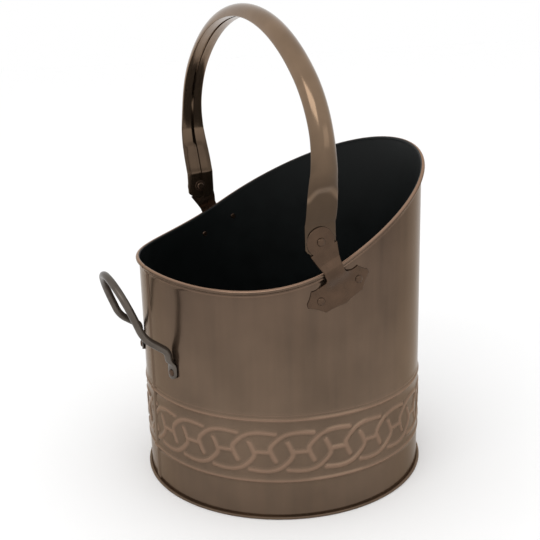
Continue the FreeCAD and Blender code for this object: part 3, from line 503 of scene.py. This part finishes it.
# Half of the arch is spun from its crown and drawn down to the end of the tab on the right side.
hoop = bmesh.new()
skin = half_round(HALF_ROUND, -HOOP_SIDE, SKIN_EDGE, SKIN_STEPS)
lining = half_round(HALF_ROUND - HOOP_GAUGE, HOOP_GAUGE - HOOP_SIDE, LINING_EDGE, LINING_STEPS)
section = [hoop.verts.new(PIVOT + Vector((across, 0, hoop_top + out))) for across, out in skin + lining[::-1]]
section_edges = [hoop.edges.new(pair) for pair in zip(section, section[1:] + section[:1])]
last = bmesh.ops.spin(
    hoop, geom=section + section_edges, axis=(1, 0, 0), cent=PIVOT + Vector((0, 0, crown_low)),
    angle=crown_lean, steps=ARC_STEPS)["geom_last"]
last = bmesh.ops.spin(
    hoop, geom=last, axis=(1, 0, 0), cent=PIVOT + Vector((0, shoulder_y, HOOP_SPRING)),
    angle=math.pi / 2 - crown_lean, steps=ARC_STEPS)["geom_last"]
leg_step = Vector((0, 0, -(HOOP_SPRING + TAB_DROP) / LEG_STEPS))
end_edges = carry_on(hoop, last, leg_step, LEG_STEPS)
bmesh.ops.edgeloop_fill(hoop, edges=end_edges)

# The leg is then pressed, by heights above the pivot: it widens and sinks towards the tab, steps
# down to it at a line shaped like a thumb's end, and bends in to its ear. The step carries a painted
# highlight.
LEG_FROM = 100.0 * MM
WIDE_FROM, WIDE_TO = 28.0 * MM, 105.0 * MM
SUNK_FROM, SUNK = 50.0 * MM, 0.5
BEND_LOW, BEND_HIGH, BEND_EASE = 16.5 * MM, 66.0 * MM, 0.75
TAB_SHIFT, SHIFT_FROM, SHIFT_TO = 1.3 * MM, 20.0 * MM, 60.0 * MM
THUMB_TOP, THUMB_ROUND, THUMB_SLOPE, THUMB_POWER = 50.0 * MM, 9.0 * MM, 4.5 * MM, 4
TAB_SQUARENESS, CLOSED_LINING = 10, 0.1
CORNER_FROM, CORNER_CUT = -8.0 * MM, 8.2 / 6
painted_step_highlight = hoop.verts.layers.float.new("painted_step_highlight")
for v in hoop.verts:
    across, up = v.co.x - PIVOT.x, v.co.z - PIVOT.z
    if v.co.y > -LEG_FROM or up > WIDE_TO:
        continue
    half_width = TAB_HALF + (HALF_ROUND - TAB_HALF) * smooth_step(WIDE_FROM, WIDE_TO, up)
    share = max(-1.0, min(1.0, across / HALF_ROUND))
    v.co.x = PIVOT.x + share * half_width
    stand = 1 - SUNK * (1 - smooth_step(SUNK_FROM, WIDE_TO, up))
    if up > HOOP_SPRING + HAIR:
        spoke = Vector((0, v.co.y - shoulder_y, up - HOOP_SPRING))
        spoke *= (SHOULDER + (spoke.length - SHOULDER) * stand) / spoke.length
        v.co.y, v.co.z = shoulder_y + spoke.y, PIVOT.z + HOOP_SPRING + spoke.z
        continue
    out = -v.co.y - HOOP_HALF
    bend = min(1.0, max(0.0, (up - BEND_LOW) / (BEND_HIGH - BEND_LOW)))
    path = TAB_MIDDLE + (HOOP_HALF - TAB_MIDDLE) * bend ** BEND_EASE
    thumb = THUMB_TOP - THUMB_ROUND * share ** THUMB_POWER
    flat = 1 - smooth_step(thumb - THUMB_SLOPE, thumb + THUMB_SLOPE, up)
    reach = math.asin(share) / (math.pi / 2) if out >= 0 else share
    half_gauge = TAB_GAUGE / 2 * (1 - abs(reach) ** TAB_SQUARENESS) ** 0.5
    in_skin = out < 0 or math.hypot(across, out) > HALF_ROUND - HOOP_GAUGE / 2
    depth = math.copysign(half_gauge if in_skin else half_gauge * CLOSED_LINING, out)
    corner = TAB_HALF - max(0.0, CORNER_FROM - up) * CORNER_CUT
    spread = max(-corner, min(corner, reach * half_width))
    shift = TAB_SHIFT * (1 - smooth_step(SHIFT_FROM, SHIFT_TO, up))
    v.co.x += (spread - share * half_width) * flat + shift
    v.co.y = -(path + out * stand + (depth - out * stand) * flat)
    # The step's outer face gets a painted highlight.
    v[painted_step_highlight] = 4 * flat * (1 - flat) if out >= 0 and in_skin else 0.0
bmesh.ops.mirror(hoop, geom=hoop.verts[:] + hoop.edges[:] + hoop.faces[:], axis="Y", merge_dist=HAIR)
bmesh.ops.rotate(hoop, verts=hoop.verts, cent=PIVOT, matrix=Matrix.Rotation(HOOP_LEAN, 3, "Y"))
bmesh.ops.recalc_face_normals(hoop, faces=hoop.faces)

# Golden brown lacquer on steel: smooth and glossy, with painted light making it pale over the arch
# and a painted highlight on the pressed step, and painted shade making it dark towards the pivots.
bronze, tree, shader = new_material("golden_brown_lacquer")
place = add(tree, "ShaderNodeTexCoord").outputs["Object"]
clouds = add(tree, "ShaderNodeTexNoise", {"Vector": place, "Scale": 1 / (30 * MM), "Detail": 4.0})
height = add(tree, "ShaderNodeSeparateXYZ", {0: place}).outputs["Z"]
# Painted light and shade: pale over the arch, dark lower down towards the pivots.
painted_light_up_arch = add(tree, "ShaderNodeMapRange", {"Value": height, "From Min": 320 * MM, "From Max": 420 * MM},
              interpolation_type="SMOOTHSTEP")
pale = add(tree, "ShaderNodeMix", {0: clouds.outputs[0], 6: srgb("6b5846"), 7: srgb("8c7560")},
           data_type="RGBA")
dark = add(tree, "ShaderNodeMix", {0: clouds.outputs[0], 6: srgb("3c3026"), 7: srgb("534334")},
           data_type="RGBA")
tone = add(tree, "ShaderNodeMix", {0: painted_light_up_arch.outputs[0], 6: dark.outputs[2], 7: pale.outputs[2]},
           data_type="RGBA")
# The painted highlight on the pressed step.
step = add(tree, "ShaderNodeAttribute", attribute_name="painted_step_highlight")
wear_and_highlight_share = add(tree, "ShaderNodeMath", {0: step.outputs["Fac"], 1: 0.45}, operation="MULTIPLY")
wear_and_highlight_tone = add(tree, "ShaderNodeMix", {0: wear_and_highlight_share.outputs[0], 6: tone.outputs[2], 7: srgb("8c7560")},
             data_type="RGBA")
tree.links.new(wear_and_highlight_tone.outputs[2], shader.inputs["Base Color"])
gloss = add(tree, "ShaderNodeMapRange", {"Value": clouds.outputs[0], "To Min": 0.14, "To Max": 0.2})
tree.links.new(gloss.outputs[0], shader.inputs["Roughness"])
shader.inputs["Metallic"].default_value = 0.85
piece("hoop_handle", hoop, "bail", [bronze], "bail", 50)


# The pivots are two larger rivets of the same kind, each through an ear and a tab. Inside the tab
# each is clenched over a plain steel washer.
PIVOT_SEAT, WASHER_SEAT = EAR_FACE + LUG_GAUGE, 147.8 * MM
WASHER = [(2.55, 0), (6.1, 0), (6.3, 0.2), (6.3, 0.6), (6.1, 0.8), (2.55, 0.8), (2.55, 0)]
for side, hand in SIDES:
    turn = Matrix.Rotation(math.pi / 2 * -hand, 4, "X")
    profile = snap_rivet(head=4.2, height=2.0, shank=2.5, tail=4.0, grip=6.5)
    for name, node, shape, seat in (("pivot_head_", "pivot_rivet_", profile, PIVOT_SEAT),
                                    ("washer_", "pivot_washer_", WASHER, WASHER_SEAT)):
        made = turned(shape, RIVET_STEPS)
        spot = PIVOT + Vector((0, hand * seat, 0))
        bmesh.ops.transform(made, verts=made.verts, matrix=Matrix.Translation(spot) @ turn)
        piece(name + side, made, "bucket", [fittings], node + side)


# The tipping handle is one round steel bar bent to a loop. It stands up and out from the wall,
# and each foot is hammered flat and riveted beside the seam.
BAR_RADIUS, LOOP_STEPS, BEND_STEPS = 3.9 * MM, 24, 12
GRIP_HALF, GRIP_LENGTH, GRIP_SLOPE = 41.0 * MM, 61.0 * MM, math.radians(69.1)
ELBOW_X, ELBOW_Z, ELBOW_ROUND = -169.8 * MM, 179.5 * MM, 32.0 * MM
KNEE_Z, KNEE_ROUND = 163.5 * MM, 10.0 * MM
FOOT_SPREAD, FOOT_STAND, FOOT_TOP = 48.0 * MM, 155.0 * MM, 155.0 * MM
FOOT_HALF, FOOT_GAUGE, FOOT_RIVET, FOOT_STEPS = 7.0 * MM, 3.0 * MM, 141.0 * MM, 14
SPREAD_LOW, SPREAD_HIGH = 150.0 * MM, 190.0 * MM
FLAT_LOW, FLAT_HIGH, FOOT_SQUARENESS = 147.0 * MM, 156.0 * MM, 8
foot_turn = math.asin(FOOT_SPREAD / FOOT_STAND)
foot_x = -FOOT_STAND * math.cos(foot_turn)
grip_up = Vector((-math.cos(GRIP_SLOPE), 0, math.sin(GRIP_SLOPE)))
elbow = Vector((ELBOW_X, 0, ELBOW_Z))
knee = Vector((foot_x, 0, KNEE_Z))
foot_end = Vector((foot_x, 0, FOOT_TOP))
loop_middle = elbow + grip_up * (GRIP_LENGTH - GRIP_HALF)


def rounded(before, corner, after, radius):
    """Start, end, centre and angle of the arc that rounds a corner of the bar."""
    back, on = (before - corner).normalized(), (after - corner).normalized()
    half = back.angle(on) / 2
    reach = radius / math.tan(half)
    centre = corner + (back + on).normalized() * (radius / math.sin(half))
    return corner + back * reach, corner + on * reach, centre, math.pi - 2 * half


# Half of the loop is spun from its top and drawn down the right leg, past elbow and knee.
right_leg = Vector((0, -GRIP_HALF, 0))
grip = bmesh.new()
loop_top = Matrix.Translation(loop_middle + grip_up * GRIP_HALF) @ Matrix.Rotation(math.pi / 2, 4, "X")
ring = bmesh.ops.create_circle(grip, radius=BAR_RADIUS, segments=24, matrix=loop_top)["verts"]
last = ring + list({e for v in ring for e in v.link_edges})
last = bmesh.ops.spin(grip, geom=last, axis=grip_up.cross(Vector((0, -1, 0))), cent=loop_middle,
                      angle=math.pi / 2, steps=LOOP_STEPS)["geom_last"]
here = loop_middle
for start, end, centre, turn in (rounded(loop_middle, elbow, knee, ELBOW_ROUND),
                                 rounded(elbow, knee, foot_end, KNEE_ROUND)):
    last = carry_on(grip, last, start - here, 1)
    sense = (start - centre).cross(end - centre).normalized()
    ends = last + list({v for e in last for v in e.verts})
    last = bmesh.ops.spin(grip, geom=ends, axis=sense, cent=centre + right_leg, angle=turn,
                          steps=BEND_STEPS)["geom_last"]
    here = end
foot_step = Vector((0, 0, (FOOT_RIVET - FOOT_HALF - here.z) / FOOT_STEPS))
end_edges = carry_on(grip, last, foot_step, FOOT_STEPS)
bmesh.ops.edgeloop_fill(grip, edges=end_edges)

# The leg then spreads towards its foot, and the foot is flattened to a round end on the wall.
foot_out = Vector((-math.cos(foot_turn), -math.sin(foot_turn), 0))
foot_side = Vector((-foot_out.y, foot_out.x, 0))
bar_middle = Vector((foot_x, -FOOT_SPREAD, 0))
for v in grip.verts:
    v.co.y -= (FOOT_SPREAD - GRIP_HALF) * (1 - smooth_step(SPREAD_LOW, SPREAD_HIGH, v.co.z))
    if v.co.z > here.z + HAIR:
        continue
    off = Vector((v.co.x, v.co.y, 0)) - bar_middle
    across, out = off.dot(foot_side), off.dot(foot_out)
    flat = 1 - smooth_step(FLAT_LOW, FLAT_HIGH, v.co.z)
    spread = FOOT_HALF * math.asin(max(-1, min(1, across / BAR_RADIUS))) / (math.pi / 2)
    round_end = math.sqrt(max(0.0, FOOT_HALF ** 2 - max(0.0, FOOT_RIVET - v.co.z) ** 2))
    spread = max(-round_end, min(round_end, spread))
    reach = min(1, abs(across) / BAR_RADIUS)
    depth = math.copysign(FOOT_GAUGE / 2 * (1 - reach ** FOOT_SQUARENESS) ** 0.5, out)
    pressed = foot_out * (WALL_RADIUS + LUG_GAP + FOOT_GAUGE / 2 + depth) + foot_side * spread
    v.co.xy = (bar_middle + off).lerp(pressed, flat).xy
bmesh.ops.mirror(grip, geom=grip.verts[:] + grip.edges[:] + grip.faces[:], axis="Y", merge_dist=HAIR)
bmesh.ops.recalc_face_normals(grip, faces=grip.faces)

# Dark brown lacquer on bar steel: nearly grey, duller than the hoop, with a fine cloud.
dark_bar, tree, shader = new_material("dark_brown_lacquer")
place = add(tree, "ShaderNodeTexCoord").outputs["Object"]
clouds = add(tree, "ShaderNodeTexNoise", {"Vector": place, "Scale": 1 / (12 * MM), "Detail": 4.0})
tone = add(tree, "ShaderNodeMix", {0: clouds.outputs[0], 6: srgb("403933"), 7: srgb("645c54")},
           data_type="RGBA")
tree.links.new(tone.outputs[2], shader.inputs["Base Color"])
gloss = add(tree, "ShaderNodeMapRange", {"Value": clouds.outputs[0], "To Min": 0.28, "To Max": 0.42})
tree.links.new(gloss.outputs[0], shader.inputs["Roughness"])
shader.inputs["Metallic"].default_value = 0.7
piece("tipping_handle", grip, "bucket", [dark_bar], "rear_handle", 50)


# Each foot of the tipping handle has one rivet through the wall, of the same kind as the lugs'.
# Its grip is longer, because the hammered foot is thicker than a lug.
for side, hand in SIDES:
    out = Vector((foot_out.x, -hand * foot_out.y, 0))
    seat = out * (WALL_RADIUS + LUG_GAP + FOOT_GAUGE) + Vector((0, 0, FOOT_RIVET))
    profile = snap_rivet(head=3.9, height=1.8, shank=2.0, tail=3.0, grip=3.9)
    set_rivet("grip_head_" + side, "grip_rivet_" + side, profile, seat, out)


# The floor is one plain white sheet under the bucket, matt, so that it keeps the bucket's shadow.
# It runs far past the edges of the picture.
FLOOR_HALF = 6.0
floor_bm = bmesh.new()
bmesh.ops.create_grid(floor_bm, x_segments=1, y_segments=1, size=FLOOR_HALF)
floor_mesh = bpy.data.meshes.new("floor")
floor_bm.to_mesh(floor_mesh)
floor_bm.free()
floor = bpy.data.objects.new("floor", floor_mesh)
bpy.context.scene.collection.objects.link(floor)
white_card, tree, shader = new_material("pale_floor")
shader.inputs["Base Color"].default_value = srgb("ffffff")
shader.inputs["Roughness"].default_value = 0.9
floor_mesh.materials.append(white_card)


# The studio is a plain white surround at full strength. It lights the bucket from all sides, and
# its white shows as the sheen of the lacquer.
world = bpy.data.worlds.new("studio")
bpy.context.scene.world = world
world.use_nodes = True
surround = world.node_tree.nodes["Background"]
surround.inputs["Color"].default_value = srgb("ffffff")
surround.inputs["Strength"].default_value = 1.0


# The lamps are a soft panel up to the left, which draws the bright line down the hoop, and a
# broad weak one low beside the camera. Each is a name, a place, a width, a height and watts.
LAMP_AIM = Vector((0, 0, 0.25))
LAMPS = (("left_panel", (-1.1, -0.8, 1.43), 1.2, 0.7, 6.0),
         ("front_panel", (0.55, -1.9, 0.75), 1.5, 1.0, 2.5))
for name, place, wide, tall, watts in LAMPS:
    panel = bpy.data.lights.new(name, "AREA")
    panel.shape = "RECTANGLE"
    panel.size, panel.size_y = wide, tall
    panel.energy = watts
    lamp = bpy.data.objects.new(name, panel)
    lamp.location = place
    lamp.rotation_euler = (LAMP_AIM - lamp.location).to_track_quat("-Z", "Y").to_euler()
    bpy.context.scene.collection.objects.link(lamp)


# The camera stands on the right side of the bucket, a little behind it, and looks down by about
# 17 degrees, as the photograph was taken.
CAMERA_PLACE = Vector((-0.4233, -0.8861, 0.5076))
CAMERA_TOWARD = Vector((0.4039, 0.8690, -0.2860)).normalized()
CAMERA_LEVEL = Vector((0.9032, -0.4285, -0.0263))
lens = bpy.data.cameras.new("camera")
lens.lens = 62.9
lens.sensor_width = 36.0
camera = bpy.data.objects.new("camera", lens)
level = (CAMERA_LEVEL - CAMERA_TOWARD * CAMERA_LEVEL.dot(CAMERA_TOWARD)).normalized()
turn = Matrix((level, level.cross(CAMERA_TOWARD), -CAMERA_TOWARD)).transposed().to_4x4()
camera.matrix_world = Matrix.Translation(CAMERA_PLACE) @ turn
bpy.context.scene.collection.objects.link(camera)
bpy.context.scene.camera = camera
bpy.context.scene.view_settings.view_transform = "Standard"
